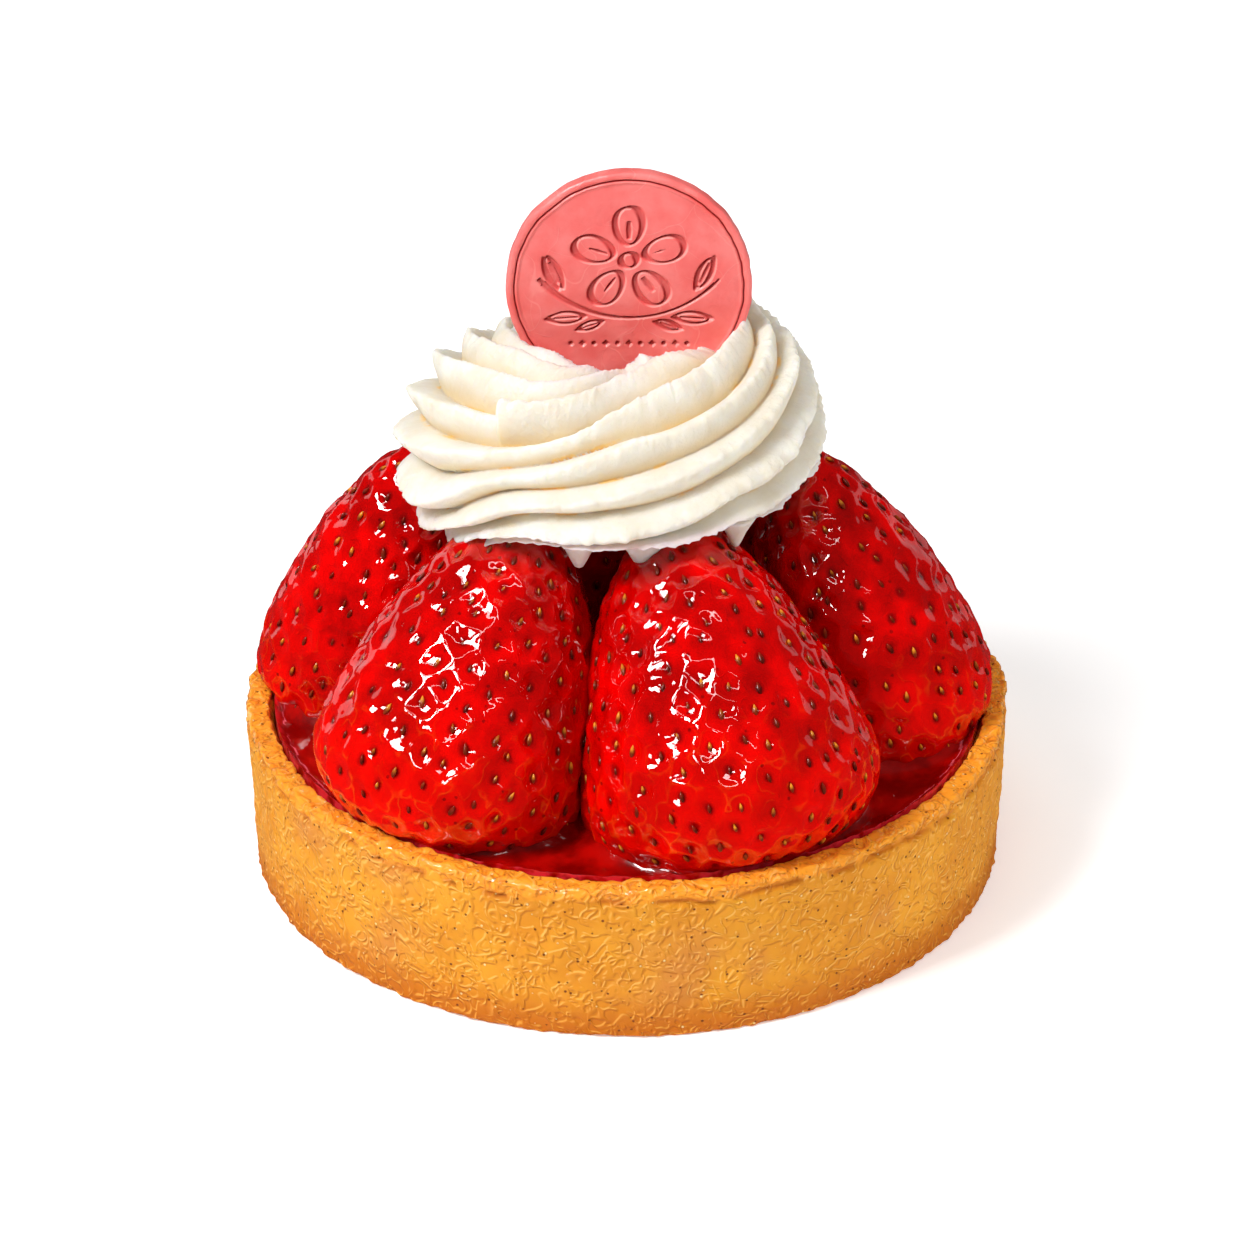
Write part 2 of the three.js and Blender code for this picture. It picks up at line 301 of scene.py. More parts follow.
studio = {
    "floorSize": 4000,
    "colours": {"paper": (0.93, 0.93, 0.93), "shade": (0.92, 0.92, 0.92)},
    "floorGlow": 0.32,
    "surroundings": 0.04,
    # kind, azimuth and elevation as seen from the tart, distance, width, height, power in watts;
    # a spark is seen only as a fine line in the glaze, and a fill isn't mirrored in it
    "lamps": {
        "key": ("all", -145, 48, 600, 150, 210, 3.25),
        "backLeft": ("all", 135, 8, 600, 350, 250, 0.28),
        "backRight": ("all", 42, 8, 600, 350, 250, 0.14),
        "strip": ("spark", -115, 64, 600, 600, 30, 0.6),
        "spark": ("spark", -118, 38, 600, 85, 85, 0.5),
        "frontFill": ("fill", -75, 20, 900, 900, 600, 0.65),
        "rightFill": ("fill", -10, 26, 900, 700, 600, 3.6),
        "leftFill": ("fill", -165, 12, 900, 600, 400, 0.15),
        "topFill": ("fill", -100, 76, 900, 900, 900, 2.7),
        "backFill": ("fill", 100, 30, 900, 900, 900, 1.1),
    },
}


def addCamera():
    data = bpy.data.cameras.new("camera")
    data.lens = view["focalLength"]
    data.sensor_width = view["sensor"]
    data.clip_start = view["nearest"] * mm
    camera = bpy.data.objects.new("camera", data)
    bpy.context.scene.collection.objects.link(camera)
    rise = math.radians(view["elevation"])
    aim = Vector((0, 0, view["aim"]))
    camera.location = (aim + view["distance"] * Vector((0, -math.cos(rise), math.sin(rise)))) * mm
    camera.rotation_euler = (math.radians(90 - view["elevation"]), 0, 0)
    bpy.context.scene.camera = camera


def addFloor():
    selectNothing()
    bpy.ops.mesh.primitive_plane_add(size=studio["floorSize"] * mm, location=(0, 0, 0))
    floor = nameActive("floor")
    material, tree, shader, place = newMaterial("floorPaper", {
        "Roughness": 0.8, "Specular IOR Level": 0.1,
        "Emission Color": (1, 1, 1, 1), "Emission Strength": studio["floorGlow"]})
    paint(tree, shader, studio["colours"], "shade", (patches(tree, place, 90, 2, 0.2, 0.8), "paper"))
    floor.data.materials.append(material)
    floor.visible_glossy = False


def addLamp(name, lights, azimuth, elevation, distance, width, height, power):
    data = bpy.data.lights.new(name, "AREA")
    data.shape = "RECTANGLE"
    data.size = width * mm
    data.size_y = height * mm
    data.energy = power
    lamp = bpy.data.objects.new(name, data)
    bpy.context.scene.collection.objects.link(lamp)
    azimuth, elevation = math.radians(azimuth), math.radians(elevation)
    away = polar(math.cos(elevation), azimuth, math.sin(elevation))
    lamp.location = (Vector((0, 0, view["aim"])) + distance * away) * mm
    lamp.rotation_euler = away.to_track_quat("Z", "Y").to_euler()
    lamp.visible_camera = False
    lamp.visible_diffuse = lights != "spark"
    lamp.visible_glossy = lights != "fill"


def addLamps():
    world = bpy.data.worlds.new("studio")
    world.use_nodes = True
    background = world.node_tree.nodes["Background"]
    background.inputs["Strength"].default_value = studio["surroundings"]
    background.inputs["Color"].default_value = (1, 1, 1, 1)
    bpy.context.scene.world = world
    for name, values in studio["lamps"].items():
        addLamp(name, *values)


bpy.context.scene.view_settings.view_transform = "Standard"
addCamera()
addFloor()
addLamps()
print("camera, floor and lights are set")

# Pastry shell

pastry = {
    "rimRadius": 42.5,
    "footRadius": 41.9,
    "height": 19,
    "wall": 3.1,
    "base": 3.5,
    "draft": 0.3,  # the wall is this much thicker at the base
    "rimRound": 0.9,
    "footRound": 0.6,
    "jellyDepth": 4.5,  # further below the rim the inside is hidden
    "grain": 0.3,  # spacing of the vertices where the shell shows
    "hiddenGrain": 9,
    "columns": 880,
    "unevenness": 0.16,
    # share of the unevenness, number round the rim, phase
    "outwardWaves": [(0.5, 4, 0.7), (0.3, 10, 2.1), (0.35, 18, 0)],
    "upwardWaves": [(0.6, 6, 1.3), (0.4, 16, math.pi / 2)],
    # a broken crack runs round below the rim: height, depth, width, how far and how often it strays, and
    # how often it ends
    "rimCrack": (17.0, 0.5, 0.22, 0.7, 6, 14),
    "rimLedge": 0.28,  # how far the rim stands out above the crack
    # how dark the painted shade in the crack under the rim ledge is
    "crackShade": 0.8,
    "footRagged": (0.35, 1.6, 0.9),  # the foot crumbles where it stands: depth, height, how fine
    # radii between which the relief of the outer wall sets in
    "wallFrom": {"ragged": (40, 41), "side": (39.6, 41.2), "crack": (40.5, 41.5)},
    # kind of texture, size, height, region, and the texture's own settings; the cut rim breaks into crumbs
    "reliefs": {
        "lumps": ("CLOUDS", 4.5, 0.5, "side", {"noise_depth": 1}),
        "crumb": ("CLOUDS", 1.3, 0.3, "side", {"noise_depth": 2}),
        "rimCrumbs": ("VORONOI", 2.5, 1.15, "rimRegion", {"weight_1": -1, "weight_2": 1,
                                                          "noise_intensity": 1.2,
                                                          "distance_metric": "CHEBYCHEV"}),
        "rimGrit": ("CLOUDS", 0.9, 0.28, "rimRegion", {"noise_depth": 2}),
    },
    "threads": [(2.2, 0.07), (3.2, 0.055)],  # size and width of the winding threads of crumb
    "threadSide": (-0.13, 0.0, 0.165),  # a thread's shaded side is looked for this far off
    # painted light: up to this height the wall is painted a deeper orange, standing in for orange light
    # thrown up by a gold board beneath
    "paintedBoardLightTo": 6.5,
    "colours": {
        "golden": (0.71, 0.256, 0.008),
        "light": (0.81, 0.334, 0.015),
        "browned": (0.66, 0.24, 0.035),
        # the foot colour and the tint laid after it are painted orange light from a gold board beneath
        "foot": (0.60, 0.175, 0.002),
        "rim": (0.99, 0.35, 0.018),
        # painted shade and painted light on the two sides of each thread of crumb
        "threadPaintedShade": (0.50, 0.135, 0.004),
        "threadPaintedLight": (1.0, 0.58, 0.15),
        "paintedBoardLight": (0.95, 0.85, 0.5),
        # painted shade in the cracks
        "crack": (0.58, 0.12, 0.005),
        "pore": (0.26, 0.06, 0.004),
        "sugar": (1.0, 0.72, 0.30),
    },
}


def shellOutline():
    p = pastry
    inner = p["rimRadius"] - p["wall"]
    top = p["height"] - p["rimRound"]
    outside = arc(p["footRadius"] - p["footRound"], p["footRound"], p["footRound"], -90, 0, 4)
    outside += evenly([outside[-1], (p["rimRadius"], top)], p["grain"])[1:]
    outside += arc(p["rimRadius"] - p["rimRound"], top, p["rimRound"], 0, 90, 5)[1:]
    outside = evenly([*outside, (inner + p["rimRound"], p["height"])], p["grain"])
    outside += arc(inner + p["rimRound"], top, p["rimRound"], 90, 180, 5)[1:]
    outside = evenly([*outside, (inner, p["height"] - p["jellyDepth"])], p["grain"])
    under = evenly([(0, 0), (p["footRadius"] - p["footRound"], 0)], p["hiddenGrain"])
    inside = evenly([(inner - p["draft"], p["base"]), (0, p["base"])], p["hiddenGrain"])
    return under[:-1] + outside + inside


def rimCrack(angle, height):
    # How deep in the broken crack a point is, and how far above it, both from 0 to 1.
    middle, depth, width, stray, often, breaks = pastry["rimCrack"]
    middle += stray * noise.noise(polar(often, angle, 0))
    broken = smoothstep(noise.noise(polar(breaks, angle, 4)), -0.2, 0.15)
    return broken * math.exp(-((height - middle) / width) ** 2), smoothstep(height, middle, middle + 0.4)


def bakeShell(point):
    angle = math.atan2(point.y, point.x)
    stray = pastry["unevenness"] * smoothstep(point.z, pastry["height"] / 2, pastry["height"])
    outward, upward = (sum(share * math.sin(count * angle + phase) for share, count, phase in pastry[waves])
                       for waves in ("outwardWaves", "upwardWaves"))
    onWall = smoothstep(math.hypot(point.x, point.y), *pastry["wallFrom"]["ragged"])
    depth, height, fineness = pastry["footRagged"]
    ragged = depth * (1 - smoothstep(point.z, 0, height))
    ragged *= noise.noise(Vector((point.x, point.y, 3 * point.z)) * fineness)
    crack, above = rimCrack(angle, point.z)
    ragged += pastry["rimLedge"] * above - pastry["rimCrack"][1] * crack
    factor = 1 + (stray * outward + ragged * onWall) / pastry["rimRadius"]
    return Vector((point.x * factor, point.y * factor, point.z + stray * upward))


def shellMaterial():
    material, tree, shader, place = newMaterial("bakedPastry", {
        "Roughness": 0.6, "Specular IOR Level": 0.25, "Coat Roughness": 0.1, "Subsurface Weight": 0.15,
        "Subsurface Radius": (1.0, 0.4, 0.1), "Subsurface Scale": 1.0 * mm})
    height = addNode(tree, "SeparateXYZ", {"Vector": place}).outputs["Z"]
    foot = scaleRange(tree, height, pastry["paintedBoardLightTo"], 0.5)
    rim = pointValue(tree, "rim")
    # painted light and shade: the side of a thread that falls towards the light is painted lighter, the side
    # that falls away is painted darker
    beside = addNode(tree, "VectorMath", {0: place, 1: pastry["threadSide"]}, operation="ADD").outputs[0]
    raised, raisedBeside = 0.0, 0.0
    for size, width in pastry["threads"]:
        here, there = [pattern(tree, threads, at, size=size, width=width, warp=0.35)
                       for at in (place, beside)]
        raised = calculate(tree, "MAXIMUM", here, raised)
        raisedBeside = calculate(tree, "MAXIMUM", there, raisedBeside)
    slope = calculate(tree, "SUBTRACT", raisedBeside, raised)
    # the rim splits into crumbs along the edges of bent cells
    bend = addNode(tree, "TexNoise", {"Vector": place, "Scale": 0.7, "Detail": 2.0}).outputs["Color"]
    bent = addNode(tree, "VectorMath", {0: bend, 1: (1.6, 1.6, 1.6), 2: place}, operation="MULTIPLY_ADD")
    crumbs = addNode(tree, "TexVoronoi", {"Vector": bent.outputs[0], "Scale": 0.62},
                     feature="DISTANCE_TO_EDGE")
    edges = times(tree, scaleRange(tree, crumbs.outputs["Distance"], 0.13, 0.0), rim)
    split = times(tree, times(tree, edges, patches(tree, place, 2.2, 2, 0.4, 0.6)), 0.4)
    pores = pattern(tree, specks, place, spacing=1.1, radius=0.18, share=0.75)
    sugar = pattern(tree, specks, place, spacing=1.3, radius=0.18, share=0.55)
    paint(tree, shader, pastry["colours"], "golden",
          (patches(tree, place, 7, 4, 0.3, 0.7), "light"),
          (patches(tree, place, 11, 3, 0.5, 0.75), "browned"),
          # painted light: the lower wall is painted deeper orange, for the orange light of a gold board
          # beneath
          (foot, "foot"),
          (rim, "rim"),
          (scaleRange(tree, slope, 0.0, 0.9, 0.0, 0.6), "threadPaintedShade"),
          (scaleRange(tree, slope, 0.0, -0.9, 0.0, 0.5), "threadPaintedLight"),
          (foot, "paintedBoardLight", "MULTIPLY"),
          # painted shade: the crack under the rim ledge is painted darker, and so are the splits between the
          # rim's crumbs
          (calculate(tree, "MAXIMUM", split, pointValue(tree, "crack")), "crack"),
          (pores, "pore"),
          (sugar, "sugar"))
    moist = times(tree, rim, patches(tree, place, 2.5, 3, 0.1, 0.4))
    tree.links.new(moist, shader.inputs["Coat Weight"])
    grains = calculate(tree, "ADD", raised, times(tree, sugar, 1.2))
    pitted = calculate(tree, "SUBTRACT", grains, times(tree, pores, 2.0))
    bump(tree, shader, calculate(tree, "SUBTRACT", pitted, times(tree, split, 2.0)), 0.1)
    return material


def makeShell():
    shell = turnedPiece("pastryShell", shellOutline(), pastry["columns"])
    moveVertices(shell, bakeShell)
    regions = [shell.vertex_groups.new(name=name) for name in ("rimRegion", "side")]
    onRims, inCracks = [], []
    for vertex in shell.data.vertices:
        x, y, height = vertex.co / mm
        radius = math.hypot(x, y)
        inCrack, onRim = rimCrack(math.atan2(y, x), height)
        onRims.append(onRim)
        # painted shade in the crack under the ledge
        inCracks.append(pastry["crackShade"] * inCrack * smoothstep(radius, *pastry["wallFrom"]["crack"]))
        onSide = smoothstep(radius, *pastry["wallFrom"]["side"]) * smoothstep(height, 0, 0.5)
        for region, weight in zip(regions, (onRim, onSide)):
            if weight:
                region.add([vertex.index], weight, "REPLACE")
    for name, settings in pastry["reliefs"].items():
        relief(shell, name, *settings)
    applyModifiers(shell)
    setAttributes(shell, rim=onRims, crack=inCracks)
    smoothShading(shell)
    shell.data.materials.append(shellMaterial())
    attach(shell, "root")
    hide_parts("tart_shell")


makeShell()
print("pastry shell is baked")

# Strawberries

# azimuth, stand, foot, lean, sway, length, radius; stand is the distance of the foot from the tart's axis
berries = {
    "front_right": (-65, 32.6, 12.6, 30, -2, 40.7, 16.2),
    "front_left": (-130, 33.2, 12.8, 29, -2, 40.6, 14.9),
    "right": (-4, 30.7, 9.9, 18, 4, 40.8, 13.7),
    "left": (167, 29.6, 9.3, 11, 5, 40.4, 13.7),
    "back_right": (55, 30.8, 9.9, 16, 0, 40.9, 13.6),
    "back_left": (111, 30.9, 9.9, 16, 1, 40.2, 13.8),
}

fruit = {
    "shoulder": 0.25,
    "footPower": 2.1,
    "tipPower": 1.48,
    "ovalness": 0.025,
    "threeSidedness": 0.018,
    "cuts": 108,  # of each side of the cube that a berry is rounded from
    "seedSpacing": (3.6, 2.8),  # below and at the tip
    "seedJitter": 0.95,
    "seedRange": (0.1, 0.985),  # share of the way up
    "seedSize": (0.54, 1.35, 0.4),
    "seedGrown": (0.66, 1.1),
    "seedTurn": 0.3,
    "seedRaised": 0.06,
    "lowestSeed": 14,
    "pitRadius": 1.9,
    "pitSizes": (0.65, 1.25),
    "pitLength": 1.2,
    "pitWarp": 0.45,  # how far a pit is from round
    "pitDepth": 0.34,
    "smallPit": 0.55,
    "ridge": 0.16,  # the flesh swells between the seeds
    "waves": [(0.35, 9), (0.1, 1.9), (0.05, 0.95)],  # height and length, of the flesh and of the glaze
    "softTo": 6,  # height up to which the shell's wall doesn't press a berry
    "gap": 0.1,
    "colours": {
        "dark": (0.40, 0.0, 0.0),
        "red": (0.74, 0.0, 0.0),
        # painted light on the lower half of the flesh
        "bright": (0.86, 0.004, 0.0),
        # painted light: faint orange caustic lines of the glaze
        "paintedCausticLine": (0.86, 0.05, 0.002),
        # painted light: orange rings round the pits' edges
        "ring": (0.92, 0.10, 0.005),
        # painted shade in the pits
        "pit": (0.12, 0.0005, 0.001),
        "pore": (0.16, 0.001, 0.001),
    },
    # painted light and shade on each seed: colours of its lit upper half and of its shaded lower half, for
    # golden and for dark seeds
    "seedPaintedLitTop": ((0.80, 0.29, 0.02), (0.24, 0.014, 0.003)),
    "seedPaintedShadedBase": ((0.22, 0.025, 0.003), (0.07, 0.002, 0.001)),
}


goldenAngle = math.radians(137.508)


def berryOutline(u):
    # Share of the greatest radius at a share u of the length.
    s = fruit["shoulder"]
    if u < s:
        return (1 - (1 - u / s) ** fruit["footPower"]) ** (1 / fruit["footPower"])
    return max(0, 1 - ((u - s) / (1 - s)) ** fruit["tipPower"]) ** (1 / fruit["tipPower"])


def berryLobes(angle, phase):
    oval = fruit["ovalness"] * math.cos(2 * angle + phase)
    return 1 + oval + fruit["threeSidedness"] * math.cos(3 * angle - 2 * phase)


def berryMatrix(name):
    azimuth, stand, foot, lean, sway = berries[name][:5]
    azimuth, lean, sway = (math.radians(angle) for angle in (azimuth, lean, sway))
    place = Matrix.Translation(polar(stand, azimuth, foot))
    return place @ Euler((-sway, -lean, azimuth), "XYZ").to_matrix().to_4x4()


def meridian(length, radius, steps=1500):
    # Points on the line from a berry's foot to its tip, evenly apart: radius, height and direction of each.
    ups = [(1 - math.cos(math.pi * i / steps)) / 2 for i in range(steps + 1)]
    points = [Vector((berryOutline(u) * radius, u * length)) for u in ups]
    along = [0]
    for start, end in zip(points, points[1:]):
        along.append(along[-1] + (end - start).length)
    line = []
    i = 0
    for step in range(steps + 1):
        target = along[-1] * step / steps
        while i < steps - 1 and along[i + 1] < target:
            i += 1
        part = (target - along[i]) / (along[i + 1] - along[i])
        line.append((*points[i].lerp(points[i + 1], part), (points[i + 1] - points[i]).normalized()))
    return line, along[-1]


def surfacePoint(line, share, angle, phase):
    # point, normal and direction towards the tip, on a berry that stands upright
    last = len(line) - 1
    radius, height, step = line[min(max(round(share * last), 0), last)]
    around = Vector((math.sin(angle), -math.cos(angle), 0))
    up = Vector((0, 0, 1))
    point = around * (radius * berryLobes(angle, phase)) + up * height
    return point, around * step.y - up * step.x, around * step.x + up * step.y


def placeSeeds(line, lineLength, phase):
    # Seeds follow each other round the berry by the golden angle, closer together near the tip.
    steps = len(line) - 1
    crowd = [0]
    for i in range(steps):
        ring = 2 * math.pi * line[i][0] * lineLength / steps
        spacing = mix(*fruit["seedSpacing"], smoothstep(i / steps, 0.55, 1))
        crowd.append(crowd[-1] + ring / (0.87 * spacing ** 2))  # seeds stand in triangles
    seeds = []
    step = 0
    for number in range(int(crowd[-1])):
        while crowd[step + 1] < number + 0.5:
            step += 1
        share = (step + (number + 0.5 - crowd[step]) / (crowd[step + 1] - crowd[step])) / steps
        jitter = fruit["seedJitter"] * random.uniform(-1, 1) / max(line[step][0], 2)
        angle = number * goldenAngle + jitter
        share += fruit["seedJitter"] * random.uniform(-1, 1) / lineLength
        if fruit["seedRange"][0] < share < fruit["seedRange"][1]:
            seeds.append((*surfacePoint(line, share, angle, phase), random.uniform(*fruit["pitSizes"])))
    return seeds


def pitHeight(distance):
    # Height of the surface at a distance from a seed, in shares of the pit's radius.
    dish = max(0, 1 - distance ** 2)
    hole = 1 - smoothstep(distance, 0.1, 0.4)
    return -fruit["pitDepth"] * (0.7 * dish + 0.3 * hole)


def pressed(point):
    # A berry gives way where it would go into the shell's wall.
    inner = pastry["rimRadius"] - pastry["wall"] - fruit["gap"]
    radius = math.hypot(point.x, point.y)
    inwards = radius - inner
    upwards = pastry["height"] + fruit["gap"] - point.z
    if inwards <= 0 or upwards <= 0 or point.z < fruit["softTo"]:
        return point
    if inwards < upwards:
        return Vector((point.x * inner / radius, point.y * inner / radius, point.z))
    return Vector((point.x, point.y, point.z + upwards))


def fleshAt(line, seeds, tree, offset, share, angle, phase):
    # point, distance from the nearest seed in pits, and 1 halfway between two seeds
    point, normal, uphill = surfacePoint(line, share, angle, phase)
    rise = sum(high * noise.noise(point / long + offset) for high, long in fruit["waves"])
    warp = 1 + fruit["pitWarp"] * noise.noise(point / 1.2 - offset)
    near = tree.find_n(point, 3)
    halfway = 2 * near[0][2] / (near[0][2] + near[1][2])
    rise += fruit["ridge"] * smoothstep(halfway, 0.4, 1) * smoothstep(share, 0.04, 0.15)
    ring, pit = 2, 0
    for place, index, distance in near:
        seedSize = seeds[index][3]
        size = fruit["pitRadius"] * seedSize * warp
        if distance <= 1.7 * size:
            apart = point - place
            lengthways = apart.dot(seeds[index][2])
            sideways = math.sqrt(max(0, apart.length_squared - lengthways ** 2))
            distance = math.hypot(lengthways / fruit["pitLength"], sideways) / size
            pit = min(pit, pitHeight(distance) * mix(fruit["smallPit"], 1, seedSize))
            ring = min(ring, distance)
    return point + normal * (rise + pit), ring, halfway


def makeBerry(name, number):
    azimuth, *_, length, radius = berries[name]
    phase = math.radians(azimuth)
    line, lineLength = meridian(length, radius)
    seeds = placeSeeds(line, lineLength, phase)
    tree = KDTree(len(seeds))
    for i, seed in enumerate(seeds):
        tree.insert(seed[0], i)
    tree.balance()
    selectNothing()
    bpy.ops.mesh.primitive_cube_add(size=2 * mm, location=(0, 0, 0))
    berry = nameActive("strawberry" + name.title().replace("_", ""))
    bpy.ops.object.mode_set(mode="EDIT")
    bpy.ops.mesh.subdivide(number_cuts=fruit["cuts"])
    bpy.ops.object.mode_set(mode="OBJECT")
    matrix = berryMatrix(name)
    offset = Vector((31 * number, 17 * number, 5))
    rings, rises, nets = [], [], []
    for vertex in berry.data.vertices:
        # evened out over the cube, so that the squares are nearly alike on the ball
        way = Vector([math.tan(c / mm * math.pi / 4) for c in vertex.co]).normalized()
        share = math.acos(max(-1, min(1, -way.z))) / math.pi
        point, ring, halfway = fleshAt(line, seeds, tree, offset, share, math.atan2(way.x, -way.y), phase)
        rings.append(ring)
        rises.append(share)
        nets.append(smoothstep(halfway, 0.82, 1))
        vertex.co = pressed(matrix @ point) * mm
    setAttributes(berry, ring=rings, rise=rises, net=nets)
    smoothShading(berry)
    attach(berry, "root")
    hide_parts("strawberry_" + name)
    return berry, [(matrix, seed) for seed in seeds]


def seedModel():
    # One seed: a flattened drop whose point looks along +Y.
    selectNothing()
    bpy.ops.mesh.primitive_uv_sphere_add(segments=10, ring_count=6, radius=0.5, location=(0, 0, 0))
    seed = nameActive("seed")
    setAttributes(seed, along=[vertex.co.y + 0.5 for vertex in seed.data.vertices])
    for vertex in seed.data.vertices:
        vertex.co.x *= 1 - 0.55 * smoothstep(vertex.co.y, -0.1, 0.5)
        vertex.co *= Vector(fruit["seedSize"]) * mm
    return seed


def makeSeeds(places, material):
    model = seedModel()
    copies = []
    for matrix, (point, normal, uphill, size) in places:
        point = point - normal * (fruit["pitDepth"] * mix(fruit["smallPit"], 1, size) - fruit["seedRaised"])
        turn = Matrix((uphill.cross(normal), uphill, normal)).transposed().to_4x4()
        spin = Matrix.Rotation(random.uniform(-fruit["seedTurn"], fruit["seedTurn"]), 4, "Z")
        place = matrix @ Matrix.Translation(point) @ turn @ spin
        x, y, z = place.translation
        inWall = math.hypot(x, y) > pastry["rimRadius"] - pastry["wall"] and z < pastry["height"] + 0.5
        if z < fruit["lowestSeed"] or inWall:
            continue
        copy = bpy.data.objects.new("seedCopy", model.data.copy())
        bpy.context.scene.collection.objects.link(copy)
        grown = random.uniform(*fruit["seedGrown"])
        place.translation *= mm
        copy.data.transform(place @ Matrix.Diagonal((grown, grown, 1, 1)))
        setAttributes(copy, tint=[random.random()] * len(copy.data.vertices))
        copies.append(copy)
    bpy.data.objects.remove(model)
    selectPieces(*copies)
    bpy.ops.object.join()
    seeds = nameActive("strawberrySeeds")
    smoothShading(seeds)
    seeds.data.materials.append(material)
    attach(seeds, "root")


def berryMaterial():
    material, tree, shader, place = newMaterial("glazedStrawberry", {
        "Roughness": 0.5, "Specular IOR Level": 0.0, "Coat Weight": 1.0, "Coat Roughness": 0.012,
        "Coat IOR": 1.6, "Subsurface Weight": 0.35, "Subsurface Radius": (1.0, 0.1, 0.05),
        "Subsurface Scale": 2.0 * mm})
    ring = pointValue(tree, "ring")  # 0 at a seed, 1 at the edge of its pit
    lower = scaleRange(tree, pointValue(tree, "rise"), 0.6, 0.2)
    some = times(tree, lower, patches(tree, place, 3, 2, 0.4, 0.65))
    outer = times(tree, scaleRange(tree, ring, 0.8, 0.92), scaleRange(tree, ring, 1.04, 0.92))
    inner = times(tree, scaleRange(tree, ring, 0.3, 0.4), scaleRange(tree, ring, 0.5, 0.4))
    pores = pattern(tree, specks, place, spacing=1.5, radius=0.26, share=0.35)
    paint(tree, shader, fruit["colours"], "dark",
          (patches(tree, place, 5, 4, 0.35, 0.7), "red"),
          # painted light: the lower half of the flesh is painted brighter
          (times(tree, lower, 0.5), "bright"),
          # painted light: faint orange caustic lines of the glaze, along the net between the seeds on the
          # lower half
          (times(tree, pointValue(tree, "net"), times(tree, some, 0.1)), "paintedCausticLine"),
          # painted light: orange light round the edges of the pits on the lower half
          (times(tree, outer, times(tree, some, 0.4)), "ring"),
          # painted shade: each pit's floor round its seed is painted darker
          (scaleRange(tree, ring, 0.38, 0.12, 0.0, 0.7), "pit"),
          (times(tree, pores, 0.7), "pore"))
    lips = calculate(tree, "ADD", outer, times(tree, inner, 0.7))
    rough = calculate(tree, "ADD", lips, times(tree, patches(tree, place, 1.1, 2, 0.1, 0.9), 1.7))
    bump(tree, shader, calculate(tree, "SUBTRACT", rough, times(tree, pores, 1.5)), 0.035)
    return material


def seedMaterial():
    material, tree, shader, _ = newMaterial("strawberrySeed", {
        "Roughness": 0.4, "Specular IOR Level": 0.1, "Coat Weight": 0.5, "Coat Roughness": 0.03})
    tint = pointValue(tree, "tint")
    paintedLitTop = blendColours(tree, scaleRange(tree, tint, 0.1, 0.55), *fruit["seedPaintedLitTop"])
    dark = blendColours(tree, tint, *fruit["seedPaintedShadedBase"])
    # painted light and shade: each seed's half towards the berry's tip is painted lit, the half towards its
    # foot painted in shade
    paint(tree, shader, {"dark": dark, "paintedLitTop": paintedLitTop}, "dark",
          (scaleRange(tree, pointValue(tree, "along"), 0.3, 0.8), "paintedLitTop"))
    return material


flesh = berryMaterial()
allSeeds = []
for number, name in enumerate(berries):
    berry, places = makeBerry(name, number)
    berry.data.materials.append(flesh)
    allSeeds += places
makeSeeds(allSeeds, seedMaterial())
print("strawberries are set,", len(allSeeds), "seeds")

# Jelly

jelly = {
    "level": 16.9,
    # height and reach of its climb up the berries and up the shell's wall
    "climb": (1.8, 0.85),
    "wallClimb": (1.7, 1.2),
    "thinEdge": 0.8,
    "bottom": 3.8,
    "draft": 0.3,
    "columns": 480,
    "grain": 0.26,
    "ripple": (0.12, 5, 0.9),  # height, length, and length in the thin edge
    "colours": {
        "deep": (0.19, 0.0, 0.0),
        "red": (0.45, 0.002, 0.001),
        # painted reflection: pink sheen along the shell's wall
        "paintedWallSheen": (0.80, 0.03, 0.05),
        # painted highlight
        "gleam": (1.0, 0.16, 0.22),
    },
}


def berryDistance(point, name, inverse):
    # About how far a point is outside a berry.
    azimuth, *_, length, radius = berries[name]
    local = inverse @ point
    u = local.z / length
    if not 0 < u < 1:
        return 9
    ring = berryOutline(u) * radius * berryLobes(math.atan2(local.x, -local.y), math.radians(azimuth))
    return math.hypot(local.x, local.y) - ring


def makeJelly():
    wall = pastry["rimRadius"] - pastry["wall"]
    surface = evenly([(0, jelly["level"]), (wall, jelly["level"])], jelly["grain"])
    outline = surface + [(wall - jelly["draft"], jelly["bottom"]), (0, jelly["bottom"])]
    filling = turnedPiece("jellyFilling", outline, jelly["columns"])
    inverses = {name: berryMatrix(name).inverted() for name in berries}
    thin = []

    def settle(point):
        if point.z < jelly["level"] - 0.1:
            thin.append(0)
            return point
        fromWall = wall - math.hypot(point.x, point.y)
        near = min(max(berryDistance(point, name, inverse), 0) for name, inverse in inverses.items())
        swells = (jelly["climb"], near), (jelly["wallClimb"], fromWall)
        climb = max(high * math.exp(-distance / reach) for (high, reach), distance in swells)
        thin.append(math.exp(-fromWall / jelly["thinEdge"]))
        high, long, short = jelly["ripple"]
        ripple = high * (noise.noise(point / long) + 2 * thin[-1] * noise.noise(point / short))
        return Vector((point.x, point.y, point.z + climb + ripple))

    moveVertices(filling, settle)
    setAttributes(filling, thin=thin)
    smoothShading(filling, 60)
    filling.data.materials.append(jellyMaterial())
    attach(filling, "root")
    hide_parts("jelly_filling")


